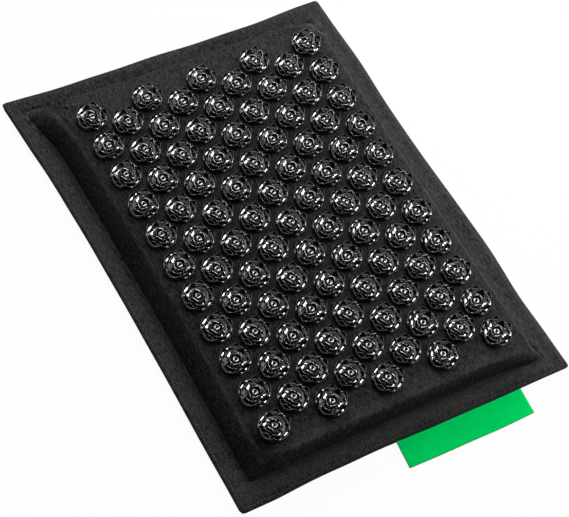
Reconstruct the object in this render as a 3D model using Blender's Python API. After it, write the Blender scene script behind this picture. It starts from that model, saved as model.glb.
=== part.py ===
"""Massage mat: a foam pad in a flanged cloth cover, set with flower-shaped spike discs.

Origin at the centre of the underside, +X along the label edge, +Y away from it, +Z up. Metres.
"""
import bmesh
import bpy
import math
from mathutils import Matrix, Vector

# Grid of discs
COLUMN_SPACING = 0.0242
ROW_PITCH = 0.0295
COLUMN_COUNT = 9
LONG_COLUMN = 11           # discs in the 1st, 3rd, 5th, 7th and 9th column
FIELD_X = 0.0020           # the grid sits this far from the middle of the cover
FIELD_Y = -0.0020
BOND_DEPTH = 0.0005        # a fused disc reaches this far into the cloth

# Spike disc, a flower of three rings of petals round a hub
DISC_RADIUS = 0.0125       # at the bellies of the outer petals
PETALS = 6                 # in each ring, the middle ring half a step round
FOOT_RADIUS = 0.0096
BELLY_HEIGHT = 0.0028
BELLY_NOTCH_RADIUS = 0.0114
OUTER_TIP_RADIUS = 0.0119
OUTER_TIP_HEIGHT = 0.0082
OUTER_NOTCH_RADIUS = 0.0108
OUTER_NOTCH_HEIGHT = 0.0038
TROUGH_RADIUS = 0.0098
TROUGH_HEIGHT = 0.0022
MIDDLE_TIP_RADIUS = 0.0086
MIDDLE_TIP_HEIGHT = 0.0070
MIDDLE_NOTCH_RADIUS = 0.0078
MIDDLE_NOTCH_HEIGHT = 0.0026
INNER_TIP_RADIUS = 0.0048
INNER_TIP_HEIGHT = 0.0060
INNER_NOTCH_RADIUS = 0.0043
INNER_NOTCH_HEIGHT = 0.0024
HUB_RADIUS = 0.0024
HUB_HEIGHT = 0.0046
HUB_DIMPLE = 0.0014        # depth of the hollow in the hub

# Cover, seen from above: the pad reaches past the outer discs, the flange past the pad
SIDE_MARGIN = 0.0067       # from the outer discs to the edge of the flat top, along X
END_MARGIN = 0.0065        # the same along Y
FLANK_RUN = 0.0085         # how far the flank leans in from foot to top
FLANGE_WIDTH = 0.0175      # flat border outside the pad
COVER_CORNER = 0.0060      # radius of the outer corners
PAD_CORNER = 0.0110        # corner radius at the foot of the pad
SIDE_PULL = 0.0016         # how far each side draws in at its middle
CLOTH = 0.0010             # thickness of one cloth
GAP = 0.0003               # clearance between pieces that touch

# Pad
FOAM_THICKNESS = 0.0165    # at the edge of the flat top
CROWN = 0.0012             # extra height of the middle over the edge of the top

# Back opening
OPENING_Y = 0.0305         # edge of the flap, where the tongue goes inside
TONGUE_LENGTH = 0.0620
TONGUE_SIDE_ROOM = 0.0060  # from the tongue's side edge to the foot of the pad
RISER_RUN = 0.0024         # the tongue climbs this fast beside the flap
BACK_INSET = 0.0010        # back cloth stops short of the top cloth's edge
STRIP_WIDTH = 0.0250
STRIP_LENGTH = 0.2000
STRIP_THICKNESS = 0.0008

# Label loop
LABEL_LENGTH = 0.1106
LABEL_REACH = 0.0190       # beyond the cover's edge
LABEL_ROOT = 0.0060        # sewn in between the two cloths
LABEL_CENTRE_X = 0.0450
LABEL_SKEW = -0.0018       # the fold lies this far to the side of the root
RIBBON = 0.0003
RIBBON_SPACE = 0.0002      # between the two leaves at the root
FOLD_RADIUS = 0.0005       # middle of the ribbon at the fold
LEAF_BULGE = 0.0004        # the leaves part this much halfway

# Smoothness
CORNER_STEPS = 3
SIDE_STEPS = 6
FLANK_STEPS = 4
CROWN_STEPS = (0.35, 0.75)
LEAF_STEPS = 6
FOLD_STEPS = 6

# Sizes that follow
HALF_X = (COLUMN_COUNT - 1) / 2 * COLUMN_SPACING + DISC_RADIUS + SIDE_MARGIN + FLANK_RUN + FLANGE_WIDTH
HALF_Y = (LONG_COLUMN - 1) / 2 * ROW_PITCH + DISC_RADIUS + END_MARGIN + FLANK_RUN + FLANGE_WIDTH
LEAF_STACK = 2 * RIBBON + RIBBON_SPACE
FLANGE_TOP = CLOTH + GAP + LEAF_STACK + GAP + CLOTH
FOAM_BOTTOM = CLOTH + GAP
TOP_EDGE = FOAM_BOTTOM + FOAM_THICKNESS + GAP + CLOTH
LOOP_STRIP_Z = CLOTH + GAP
HOOK_STRIP_Z = LOOP_STRIP_Z + STRIP_THICKNESS + GAP
TONGUE_Z = HOOK_STRIP_Z + STRIP_THICKNESS + GAP
TONGUE_END = OPENING_Y + TONGUE_LENGTH


def clear_scene():
    for item in list(bpy.data.objects):
        bpy.data.objects.remove(item, do_unlink=True)


def material(name, colour, roughness, metallic=0.0):
    result = bpy.data.materials.new(name)
    result.use_nodes = True
    shader = result.node_tree.nodes["Principled BSDF"]
    shader.inputs["Base Color"].default_value = (*colour, 1.0)
    shader.inputs["Roughness"].default_value = roughness
    shader.inputs["Metallic"].default_value = metallic
    return result


def new_object(name, mesh, finish):
    item = bpy.data.objects.new(name, mesh)
    bpy.context.scene.collection.objects.link(item)
    if finish is not None and not mesh.materials:
        mesh.materials.append(finish)
    return item


def finish_mesh(bm, name, sharp_angle=None):
    """Turn the faces outwards and hand the mesh over."""
    bmesh.ops.recalc_face_normals(bm, faces=bm.faces)
    mesh = bpy.data.meshes.new(name)
    bm.to_mesh(mesh)
    bm.free()
    if sharp_angle is not None:
        mesh.shade_smooth()
        mesh.set_sharp_from_angle(angle=math.radians(sharp_angle))
    return mesh


def loft(loops):
    """Skin a row of closed loops of equal length and cap both ends."""
    bm = bmesh.new()
    rows = [[bm.verts.new(point) for point in loop] for loop in loops]
    count = len(rows[0])
    for lower, upper in zip(rows, rows[1:]):
        for k in range(count):
            bm.faces.new((lower[k], lower[(k + 1) % count], upper[(k + 1) % count], upper[k]))
    bm.faces.new(list(reversed(rows[0])))
    bm.faces.new(rows[-1])
    return bm


def skin_rings(bm, inner, outer):
    """Join two rings of points with triangles that mirror about every petal's middle."""
    count = max(len(inner), len(outer))
    for k in range(count):
        after = (k + 1) % count
        if len(inner) == len(outer):
            corners = (inner[k], inner[after], outer[after], outer[k])
            split = ((0, 1, 2), (0, 2, 3)) if k % 2 == 0 else ((0, 1, 3), (1, 2, 3))
            faces = [tuple(corners[c] for c in face) for face in split]
        else:
            few, many = sorted((inner, outer), key=len)
            here = few[k // 2]
            faces = [(here, many[k], many[after])]
            if k % 2:
                beyond = few[(k // 2 + 1) % len(few)]
                faces = [(here, many[k], beyond), (beyond, many[k], many[after])]
        for face in faces:
            bm.faces.new(face)


def pull(share):
    """How far a side draws in, from 0 at its ends to 1 at its middle; share runs 0 to 1."""
    return 1 - (2 * share - 1) ** 2


def outline(inset, corner, z):
    """Rectangle with round corners and drawn-in sides, this far inside the cover's edge."""
    half_x = HALF_X - inset
    half_y = HALF_Y - inset
    arcs = []
    for quarter, (sign_x, sign_y) in enumerate(((1, 1), (-1, 1), (-1, -1), (1, -1))):
        middle = Vector((sign_x * (half_x - corner), sign_y * (half_y - corner)))
        arc = []
        for step in range(CORNER_STEPS + 1):
            angle = math.pi / 2 * (quarter + step / CORNER_STEPS)
            arc.append(middle + corner * Vector((math.cos(angle), math.sin(angle))))
        arcs.append(arc)
    points = []
    for quarter, arc in enumerate(arcs):
        points.extend(arc)
        start = arc[-1]
        end = arcs[(quarter + 1) % 4][0]
        inward = Vector((math.sin(math.pi / 2 * quarter), -math.cos(math.pi / 2 * quarter)))
        for step in range(1, SIDE_STEPS):
            share = step / SIDE_STEPS
            points.append(start.lerp(end, share) + inward * SIDE_PULL * pull(share))
    return [Vector((point.x, point.y, z)) for point in points]


def cover_profile():
    """Outer face of the top cloth, as (inset, height) from the edge to the middle."""
    points = [(0.0, FLANGE_TOP)]
    rise = TOP_EDGE - FLANGE_TOP
    for step in range(FLANK_STEPS + 1):
        angle = math.pi / 2 * step / FLANK_STEPS
        points.append((FLANGE_WIDTH + FLANK_RUN * (1 - math.cos(angle)),
                       FLANGE_TOP + rise * math.sin(angle)))
    start = FLANGE_WIDTH + FLANK_RUN
    for share in CROWN_STEPS:
        points.append((start + share * (HALF_X - start), TOP_EDGE + CROWN * (1 - (1 - share) ** 2)))
    return [Vector(point) for point in points]


def offset_profile(points, distance):
    """The same profile, this far below and inside the outer face."""
    result = []
    for k, point in enumerate(points):
        before = (point - points[k - 1]).normalized() if k else None
        after = (points[k + 1] - point).normalized() if k + 1 < len(points) else None
        before = before or after
        after = after or before
        along = (before + after).normalized()
        normal = Vector((along.y, -along.x))
        mitre = max(0.5, along.dot(after))
        result.append(point + normal * distance / mitre)
    return result


def corner_at(inset):
    """Corner radius of the cover's outline at this inset."""
    share = min(1.0, inset / FLANGE_WIDTH)
    return COVER_CORNER + share * (PAD_CORNER - COVER_CORNER)


def profile_loops(profile):
    return [outline(point.x, corner_at(point.x), point.y) for point in profile]


def top_height(x, y):
    """Height of the top cloth's outer face over a point of the pad's flat top."""
    inset = min(HALF_X - abs(x), HALF_Y - abs(y)) - SIDE_PULL / 2
    profile = cover_profile()
    for a, b in zip(profile, profile[1:]):
        if a.x <= inset <= b.x:
            return a.y + (b.y - a.y) * (inset - a.x) / (b.x - a.x)
    return profile[-1].y


def seat(x, y, lift):
    """Matrix that sets a disc square on the cloth, its underside this far above it."""
    reach = DISC_RADIUS
    slope_x = (top_height(x + reach, y) - top_height(x - reach, y)) / (2 * reach)
    slope_y = (top_height(x, y + reach) - top_height(x, y - reach)) / (2 * reach)
    up = Vector((-slope_x, -slope_y, 1)).normalized()
    turn = Vector((0, 0, 1)).rotation_difference(up).to_matrix().to_4x4()
    return Matrix.Translation((x, y, top_height(x, y) + lift)) @ turn


def column_places(column):
    """Centres of the discs of one column, far end first."""
    count = LONG_COLUMN - column % 2
    x = FIELD_X + (column - (COLUMN_COUNT - 1) / 2) * COLUMN_SPACING
    return [(x, FIELD_Y + ((count - 1) / 2 - row) * ROW_PITCH) for row in range(count)]


def ring(bm, *stations):
    """Points round the disc that take the (radius, height) stations by turns."""
    count = PETALS * len(stations)
    points = []
    for k in range(count):
        radius, height = stations[k % len(stations)]
        angle = 2 * math.pi * k / count
        points.append(bm.verts.new((radius * math.cos(angle), radius * math.sin(angle), height)))
    return points


def spike_disc():
    """One flower-shaped disc: bellied outer petals on a small foot, two more rings and a dimpled hub."""
    bm = bmesh.new()
    hub = ring(bm, (HUB_RADIUS, HUB_HEIGHT))
    inner = ring(bm, (INNER_TIP_RADIUS, INNER_TIP_HEIGHT), (INNER_NOTCH_RADIUS, INNER_NOTCH_HEIGHT))
    middle = ring(bm, (MIDDLE_NOTCH_RADIUS, MIDDLE_NOTCH_HEIGHT), (MIDDLE_TIP_RADIUS, MIDDLE_TIP_HEIGHT))
    trough = ring(bm, (TROUGH_RADIUS, TROUGH_HEIGHT), (TROUGH_RADIUS, TROUGH_HEIGHT))
    outer = ring(bm, (OUTER_TIP_RADIUS, OUTER_TIP_HEIGHT), (OUTER_NOTCH_RADIUS, OUTER_NOTCH_HEIGHT))
    belly = ring(bm, (DISC_RADIUS, BELLY_HEIGHT), (BELLY_NOTCH_RADIUS, BELLY_HEIGHT))
    foot = ring(bm, (FOOT_RADIUS, 0.0))
    dimple = bm.verts.new((0, 0, HUB_HEIGHT - HUB_DIMPLE))
    for k in range(PETALS):
        bm.faces.new((dimple, hub[k], hub[(k + 1) % PETALS]))
    rings = (hub, inner, middle, trough, outer, belly, foot)
    for within, around in zip(rings, rings[1:]):
        skin_rings(bm, within, around)
    bm.faces.new(foot)
    return finish_mesh(bm, "spike_disc", sharp_angle=30)


def add_separate_discs(disc, finish):
    """The 10-disc columns: each disc is bonded on by itself."""
    for column in range(1, COLUMN_COUNT, 2):
        for row, (x, y) in enumerate(column_places(column)):
            item = new_object(f"spike_disc_c{column + 1}_r{row + 1:02d}", disc, finish)
            item.matrix_world = seat(x, y, GAP)


def add_top_panel(disc, finish):
    """The top cloth with its flange, and the 11-disc columns bonded to it."""
    outer = cover_profile()
    inner = offset_profile(outer, CLOTH)
    inner[0].x = outer[0].x
    mesh = finish_mesh(loft(profile_loops(list(reversed(inner)) + outer)), "top_panel", sharp_angle=40)
    panel = new_object("top_panel", mesh, finish)
    bonded = bmesh.new()
    for column in range(0, COLUMN_COUNT, 2):
        for x, y in column_places(column):
            first = len(bonded.verts)
            bonded.from_mesh(disc)
            bonded.verts.ensure_lookup_table()
            bmesh.ops.transform(bonded, matrix=seat(x, y, -BOND_DEPTH), verts=bonded.verts[first:])
    guide = new_object("bonded_discs", finish_mesh(bonded, "bonded_discs", sharp_angle=30), None)
    guide.hide_render = True
    guide.display_type = "WIRE"
    union = panel.modifiers.new("bonded discs", "BOOLEAN")
    union.operation = "UNION"
    union.object = guide


def add_foam_core(finish):
    """A slab that fills the cover: crowned top, rounded flanks, and a step for the tongue."""
    under_cloth = offset_profile(cover_profile(), CLOTH + GAP)
    flank = [point for point in under_cloth[1:] if point.y > FOAM_BOTTOM + CLOTH]
    foot = Vector((flank[0].x, FOAM_BOTTOM))
    middle = Vector((flank[-1].x, FOAM_BOTTOM))
    mesh = finish_mesh(loft(profile_loops([middle, foot] + flank)), "foam_core", sharp_angle=40)
    foam = new_object("foam_core", mesh, finish)
    room = bmesh.new()
    bmesh.ops.create_cube(room, size=1.0)
    start = OPENING_Y - 2 * RISER_RUN
    end = TONGUE_END + CLOTH
    top = TONGUE_Z + CLOTH + GAP
    bmesh.ops.scale(room, vec=(2 * HALF_X, end - start, 2 * top), verts=room.verts)
    bmesh.ops.translate(room, vec=(0, (start + end) / 2, 0), verts=room.verts)
    guide = new_object("tongue_room", finish_mesh(room, "tongue_room"), None)
    guide.hide_render = True
    guide.display_type = "WIRE"
    cut = foam.modifiers.new("room for the tongue", "BOOLEAN")
    cut.operation = "DIFFERENCE"
    cut.object = guide


def half_width(y):
    """Half the width of the back cloth at this place along the mat."""
    half_x = HALF_X - BACK_INSET
    half_y = HALF_Y - BACK_INSET - SIDE_PULL
    past = abs(y) - (half_y - COVER_CORNER)
    if past > 0:
        return half_x - COVER_CORNER + math.sqrt(max(0.0, COVER_CORNER ** 2 - past ** 2))
    return half_x - SIDE_PULL * pull(0.5 + y / (2 * half_y))


def back_places(start, end):
    """Places along a back cloth from start to end: close together round its corners, then even."""
    half_y = HALF_Y - BACK_INSET - SIDE_PULL
    places = [half_y * k / SIDE_STEPS for k in range(1 - SIDE_STEPS, SIDE_STEPS)]
    for k in range(CORNER_STEPS):
        place = half_y - COVER_CORNER * (1 - math.sin(math.pi / 2 * k / CORNER_STEPS))
        places += [place, -place]
    return [start] + sorted(y for y in places if start + CLOTH < y < end) + [end]


def cloth_strip(sections):
    """A cloth through (y, half width, underside height) sections."""
    loops = []
    for y, half, z in sections:
        loops.append([Vector((half, y, z)), Vector((half, y, z + CLOTH)),
                      Vector((-half, y, z + CLOTH)), Vector((-half, y, z))])
    return loft(loops)


def add_back_panels(finish):
    """Two back cloths: the main one runs inside the opening as a tongue, the flap laps it."""
    half_y = HALF_Y - BACK_INSET - SIDE_PULL
    tongue_half = HALF_X - FLANGE_WIDTH - TONGUE_SIDE_ROOM
    flat_end = OPENING_Y - RISER_RUN - CLOTH
    sections = [(y, half_width(y), 0.0) for y in back_places(-half_y, flat_end)]
    sections.append((flat_end + CLOTH, tongue_half, 0.0))
    sections.append((OPENING_Y - GAP, tongue_half, TONGUE_Z))
    sections.append((TONGUE_END, tongue_half, TONGUE_Z))
    new_object("back_panel_main", finish_mesh(cloth_strip(sections), "back_panel_main"), finish)
    sections = [(y, half_width(y), 0.0) for y in back_places(OPENING_Y, half_y)]
    new_object("back_panel_flap", finish_mesh(cloth_strip(sections), "back_panel_flap"), finish)


def add_strip(name, z, finish):
    """One half of the hook and loop closure, in the middle of the overlap."""
    bm = bmesh.new()
    bmesh.ops.create_cube(bm, size=1.0)
    bmesh.ops.scale(bm, vec=(STRIP_LENGTH, STRIP_WIDTH, STRIP_THICKNESS), verts=bm.verts)
    middle = (OPENING_Y + TONGUE_END) / 2
    bmesh.ops.translate(bm, vec=(0, middle, z + STRIP_THICKNESS / 2), verts=bm.verts)
    return new_object(name, finish_mesh(bm, name), finish)


def ribbon_path():
    """Middle of the label's ribbon in side view, as (share of reach, y, z): out, fold, back."""
    root_y = -(HALF_Y - SIDE_PULL - LABEL_ROOT)
    edge_y = root_y - LABEL_ROOT
    fold_y = edge_y - LABEL_REACH + FOLD_RADIUS + RIBBON / 2
    root_z = CLOTH + GAP + LEAF_STACK / 2
    end_z = FOLD_RADIUS + RIBBON
    root_half = (RIBBON + RIBBON_SPACE) / 2
    leaf = [(0.0, root_y, root_z, root_half)]
    for k in range(LEAF_STEPS + 1):
        share = k / LEAF_STEPS
        middle = root_z + (end_z - root_z) * share ** 2
        half = root_half + (FOLD_RADIUS - root_half) * share + LEAF_BULGE * math.sin(math.pi * share)
        leaf.append((share, edge_y + (fold_y - edge_y) * share, middle, half))
    upper = [(share, y, z + half) for share, y, z, half in leaf]
    lower = [(share, y, max(z - half, RIBBON)) for share, y, z, half in leaf]
    fold = []
    for k in range(1, FOLD_STEPS):
        angle = math.pi / 2 - math.pi * k / FOLD_STEPS
        fold.append((1.0, fold_y - FOLD_RADIUS * math.cos(angle), end_z + FOLD_RADIUS * math.sin(angle)))
    return upper + fold + list(reversed(lower))


def add_label(finish):
    """A ribbon folded double: both leaves are held between the cloths of the flange."""
    path = ribbon_path()
    centre = [Vector((y, z)) for _, y, z in path]
    loops = []
    for k, (share, _, _) in enumerate(path):
        ahead = centre[min(k + 1, len(centre) - 1)] - centre[max(k - 1, 0)]
        side = Vector((ahead.y, -ahead.x)).normalized() * RIBBON / 2
        shift = LABEL_CENTRE_X + LABEL_SKEW * share
        left = shift - LABEL_LENGTH / 2
        right = shift + LABEL_LENGTH / 2
        outside = centre[k] + side
        inside = centre[k] - side
        loops.append([Vector((left, *outside)), Vector((right, *outside)),
                      Vector((right, *inside)), Vector((left, *inside))])
    new_object("label", finish_mesh(loft(loops), "label"), finish)


def main():
    clear_scene()
    cover_cloth = material("cover_cloth", (0.030, 0.029, 0.027), 0.85)
    back_cloth = material("back_cloth", (0.026, 0.025, 0.024), 0.88)
    disc_plastic = material("disc_plastic", (0.008, 0.008, 0.009), 0.22)
    foam = material("foam", (0.62, 0.60, 0.52), 0.95)
    ribbon = material("label_ribbon", (0.0, 0.45, 0.07), 0.6)
    closure = material("closure", (0.012, 0.012, 0.012), 0.9)
    disc = spike_disc()
    add_top_panel(disc, cover_cloth)
    add_separate_discs(disc, disc_plastic)
    add_foam_core(foam)
    add_back_panels(back_cloth)
    add_strip("loop_strip", LOOP_STRIP_Z, closure)
    add_strip("hook_strip", HOOK_STRIP_Z, closure)
    add_label(ribbon)


main()
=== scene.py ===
import math
import bpy
import numpy as np
from mathutils import Matrix, Vector


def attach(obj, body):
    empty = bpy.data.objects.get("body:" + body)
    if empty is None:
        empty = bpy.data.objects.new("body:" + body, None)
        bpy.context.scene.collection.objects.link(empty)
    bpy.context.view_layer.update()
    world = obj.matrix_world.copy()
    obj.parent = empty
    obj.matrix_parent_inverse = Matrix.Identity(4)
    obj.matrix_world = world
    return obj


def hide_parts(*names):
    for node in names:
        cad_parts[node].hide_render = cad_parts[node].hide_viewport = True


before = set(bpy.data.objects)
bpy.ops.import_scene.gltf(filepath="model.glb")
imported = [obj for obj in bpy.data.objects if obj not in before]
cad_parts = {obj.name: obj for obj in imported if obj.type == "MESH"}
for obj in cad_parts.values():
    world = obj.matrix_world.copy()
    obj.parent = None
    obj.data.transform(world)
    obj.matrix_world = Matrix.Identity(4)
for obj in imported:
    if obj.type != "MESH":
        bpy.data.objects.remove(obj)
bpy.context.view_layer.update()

# Massage mat, dressed for the picture. Metres, +X along the label edge, +Y away from it, +Z up.
mm = 0.001
scene = bpy.context.scene


# Shader maths: a socket that takes part in Python expressions, where each operator adds a Math node.
class Link:
    def __init__(self, tree, socket=None):
        self.tree = tree
        self.socket = socket

    def node(self, kind, settings=None, inputs=None, out=0):
        # one node of any type; its settings are set first, then the values or links of its sockets
        made = self.tree.nodes.new("ShaderNode" + kind)
        for name, value in (settings or {}).items():
            setattr(made, name, value)
        plug(made, inputs or {})
        return Link(self.tree, made.outputs[out])

    def output(self, out):
        # another output of the same node
        return Link(self.tree, self.socket.node.outputs[out])

    def calc(self, operation, *values):
        return self.node("Math", {"operation": operation}, dict(enumerate(values)))

    def __add__(self, other):
        return self.calc("ADD", self, other)

    def __sub__(self, other):
        return self.calc("SUBTRACT", self, other)

    def __rsub__(self, other):
        return self.calc("SUBTRACT", other, self)

    def __mul__(self, other):
        return self.calc("MULTIPLY", self, other)

    __radd__, __rmul__ = __add__, __mul__

    def wave(self, step):
        # sine with this distance between crests
        return self.calc("SINE", self * (2 * math.pi / step))

    def band(self, low, high):
        # 0 below low, 1 above high, smooth between
        return self.node("MapRange", {"interpolation_type": "SMOOTHSTEP"},
                         {"Value": self, "From Min": low, "From Max": high})

    def mix(self, first, second):
        # colour blend, this socket is the factor
        return self.node("Mix", {"data_type": "RGBA"}, {0: self, 6: first, 7: second}, out=2)

    def noise(self, scale, detail=2.0, rough=0.5, stretch=(1, 1, 1)):
        # this socket is the place; stretch packs the grain closer along an axis
        place = self.node("Mapping", None, {"Vector": self, "Scale": stretch})
        return self.node("TexNoise", None,
                         {"Vector": place, "Scale": scale, "Detail": detail, "Roughness": rough})


def plug(node, values):
    # a value or a link for each named socket
    for name, value in values.items():
        if isinstance(value, Link):
            value.tree.links.new(value.socket, node.inputs[name])
        else:
            node.inputs[name].default_value = value


def newMaterial(name):
    # the material, its shader, and a Link with no socket from which its nodes start
    made = bpy.data.materials.new(name)
    made.use_nodes = True
    return made, made.node_tree.nodes["Principled BSDF"], Link(made.node_tree)


def colour(*rgb):
    return (*rgb, 1.0)


def paint(shader, look, base, relief):
    # this base colour and this height as relief, with the look's roughness and gloss
    bump = relief.node("Bump", None, {"Strength": look["bump"], "Distance": look["depth"], "Height": relief})
    plug(shader, {"Base Color": base, "Roughness": look["rough"], "Specular IOR Level": look["gloss"],
                  "Normal": bump})


def clothPlace(base):
    # the piece's own UV map, which is in metres: the place, then its two distances
    uv = base.node("UVMap", {"uv_map": "cloth"})
    u = base.node("SeparateXYZ", None, {0: uv})
    return uv, u, u.output(1)


# slubs are noises stretched by these shares of a thread along X and Y
weave = dict(
    dark=(0.0113, 0.0113, 0.0108), light=(0.0485, 0.0480, 0.0450), fleck=(0.117, 0.116, 0.109),
    thread=0.75 * mm, warpSlub=(0.8, 0.13), weftSlub=(0.12, 0.85), grain=0.62, cloud=24.0, bump=0.55,
    depth=0.35 * mm, rough=0.86, gloss=0.02,
)


def clothMaterial(name, tone=1.0, threadScale=1.0):
    # Plain weave: crossed threads with slubs and rare flecks, and painted light: lighter where the cover's
    # painted-light attribute says so.
    made, shader, base = newMaterial(name)
    uv, u, v = clothPlace(base)
    pitch = weave["thread"] * threadScale
    warpSlub, weftSlub = (uv.noise(1.0, 3.0, 0.6, (alongX / pitch, alongY / pitch, 1))
                          for alongX, alongY in (weave["warpSlub"], weave["weftSlub"]))
    grain = uv.noise(weave["grain"] / pitch, 3.0, 0.8)
    cloud = uv.noise(weave["cloud"], 3.0, 0.6)
    over = u.wave(2 * pitch) * v.wave(2 * pitch)
    tint = warpSlub * 1.1 + weftSlub * 0.5 + grain * 1.0 + over * 0.06 + cloud * 0.2 - 0.9
    dark, light, fleck = (colour(*(c * tone for c in weave[k])) for k in ("dark", "light", "fleck"))
    body = tint.band(0.36, 0.64).mix(dark, light)
    fleckMask = (warpSlub * weftSlub).band(0.33, 0.46) * 0.6
    # painted light and painted sheen, read from the cover and added to the flecks
    paintedLight = base.node("Attribute", {"attribute_name": "paintedLight"}, out=2)
    lighter = paintedLight.calc("MINIMUM", fleckMask + paintedLight * (tint * 0.8 + 0.6), 1.0)
    paint(shader, weave, lighter.mix(body, fleck),
          over * 0.35 + warpSlub * 0.8 + weftSlub * 0.8 + grain * 0.4)
    return made


plastic = dict(
    base=colour(0.0045, 0.0045, 0.005), dust=colour(0.05, 0.048, 0.044), dustRise=(1.2, 3.4), rough=0.07,
    gloss=1.0, index=1.58,
)


def plasticMaterial(name):
    # Black gloss: faintly uneven polish, and a trace of dust low between the petals (attribute rise, in mm).
    made, shader, base = newMaterial(name)
    place = base.node("TexCoord", out=3)
    polish = place.noise(420.0, 2.0, 0.5)
    dust = place.noise(900.0, 2.0, 0.6)
    rise = base.node("Attribute", {"attribute_name": "rise"}, out=2)
    low = 1 - rise.band(*plastic["dustRise"])
    settled = low * dust.band(0.45, 0.75) * 0.5
    plug(shader, {"Base Color": settled.mix(plastic["base"], plastic["dust"]), "IOR": plastic["index"],
                  "Roughness": polish * 0.10 + settled * 0.3 + plastic["rough"],
                  "Specular IOR Level": plastic["gloss"]})
    return made


satin = dict(
    low=colour(0.0005, 0.78, 0.135), high=colour(0.001, 0.90, 0.18), rib=0.45 * mm, cross=0.30 * mm,
    bump=0.35, depth=0.15 * mm, rough=0.6, gloss=0.0,
)


def ribbonMaterial(name):
    # Satin: fine ribs along and across, and a slight cloudiness.
    made, shader, base = newMaterial(name)
    uv, u, v = clothPlace(base)
    rib = v.wave(satin["rib"])
    cross = u.wave(satin["cross"])
    cloud = uv.noise(60.0, 3.0, 0.6)
    grain = uv.noise(1.0, 2.0, 0.6, (400, 2600, 1))
    shade = (rib * 0.05 + cross * 0.03 + cloud * 0.35 + grain * 0.35 + 0.15).band(0.2, 0.8)
    paint(shader, satin, shade.mix(satin["low"], satin["high"]), rib * 0.5 + cross * 0.3 + grain)
    return made


cells = dict(
    low=colour(0.36, 0.33, 0.25), high=colour(0.62, 0.60, 0.52), perMetre=700.0, bump=0.6, depth=0.6 * mm,
    rough=0.95, gloss=0.2,
)


def foamMaterial(name):
    # Open pores: rounded cells, deeper at their centres and darker there with painted shade, with slow
    # clouds.
    made, shader, base = newMaterial(name)
    place = base.node("TexCoord", out=3)
    pores = base.node("TexVoronoi", {"feature": "F1"}, {"Vector": place, "Scale": cells["perMetre"]})
    cloud = place.noise(40.0, 3.0, 0.6)
    # the depth of each pore, which also sets its painted shade
    opening = pores.band(0.15, 0.55)
    tone = (opening * 0.6 + cloud * 0.5).band(0.2, 0.9)
    paint(shader, cells, tone.mix(cells["low"], cells["high"]), opening)
    return made


fuzzy = dict(
    low=colour(0.006, 0.006, 0.006), high=colour(0.03, 0.03, 0.03), selvedge=(9.5 * mm, 10.5 * mm),
    row=1.6 * mm, bump=0.8, depth=0.5 * mm, rough=0.8, gloss=0.5,
)


def tapeMaterial(name, pile):
    # Hook and loop tape: pile in the middle of the width, plain woven selvedges.
    made, shader, base = newMaterial(name)
    uv, u, v = clothPlace(base)
    tuft = uv.noise(pile, 3.0, 0.7)
    selvedge = v.calc("ABSOLUTE", v).band(*fuzzy["selvedge"])
    rows = u.wave(fuzzy["row"]) * v.wave(fuzzy["row"])
    fuzz = tuft * (1 - selvedge) + (rows * 0.5 + 0.5) * selvedge
    paint(shader, fuzzy, fuzz.band(0.25, 0.8).mix(fuzzy["low"], fuzzy["high"]), fuzz + rows * 0.3)
    return made


thread = dict(
    low=colour(0.007, 0.007, 0.007), high=colour(0.028, 0.027, 0.026), twist=0.5 * mm, bump=0.5,
    depth=0.1 * mm, rough=0.6, gloss=0.5,
)


def threadMaterial(name):
    # Twisted sewing thread: a wave on the sum of X and Y, so that it runs along stitches either way.
    made, shader, base = newMaterial(name)
    split = base.node("SeparateXYZ", None, {0: base.node("TexCoord", out=3)})
    twist = (split + split.output(1)).wave(thread["twist"]) * 0.5 + 0.5
    paint(shader, thread, twist.mix(thread["low"], thread["high"]), twist)
    return made


def smoothstep(low, high, value):
    # 0 below low, 1 above high, smooth between
    t = np.clip((value - low) / (high - low), 0, 1)
    return t * t * (3 - 2 * t)


def between(pair, share):
    # straight blend of two values
    return pair[0] + (pair[1] - pair[0]) * share


def hill(value, place, width):
    # bell curve, 1 at its place
    return np.exp(-((value - place) / width) ** 2)


def curveThrough(values, share):
    # smooth curve through evenly spaced values, read at these shares of its length (Catmull-Rom)
    p = np.asarray(values, float)
    ends = np.concatenate([[2 * p[0] - p[1]], p, [2 * p[-1] - p[-2]]])
    t = np.clip(share, 0, 1) * (len(p) - 1)
    i = np.clip(t.astype(int), 0, len(p) - 2)
    f = t - i
    if p.ndim > 1:
        f = f[..., None]
    a, b, c, d = ends[i], ends[i + 1], ends[i + 2], ends[i + 3]
    return 0.5 * (2 * b + (c - a) * f + (2 * a - 5 * b + 4 * c - d) * f ** 2
                  + (3 * b - a - 3 * c + d) * f ** 3)


def gridFaces(rows, columns, start=0):
    # quads of a grid of points, row after row, whose last column joins its first
    r, c = np.arange(rows - 1)[:, None] * columns, np.arange(columns)
    beside = (c + 1) % columns
    return np.stack([r + c, r + beside, r + columns + beside, r + columns + c], -1).reshape(-1, 4) + start


def tubeFaces(rows, columns):
    # a closed section carried along rows, a strip of quads over each end; its upper points come first, then
    # its lower ones backwards
    up, low = np.arange(columns // 2), np.arange(columns - 1, columns // 2 - 1, -1)
    cap = np.stack([up[:-1], up[1:], low[1:], low[:-1]], -1)
    return np.concatenate([gridFaces(rows, columns), cap[:, ::-1], cap + (rows - 1) * columns])


def addObject(name, data):
    made = bpy.data.objects.new(name, data)
    scene.collection.objects.link(made)
    return made


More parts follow.
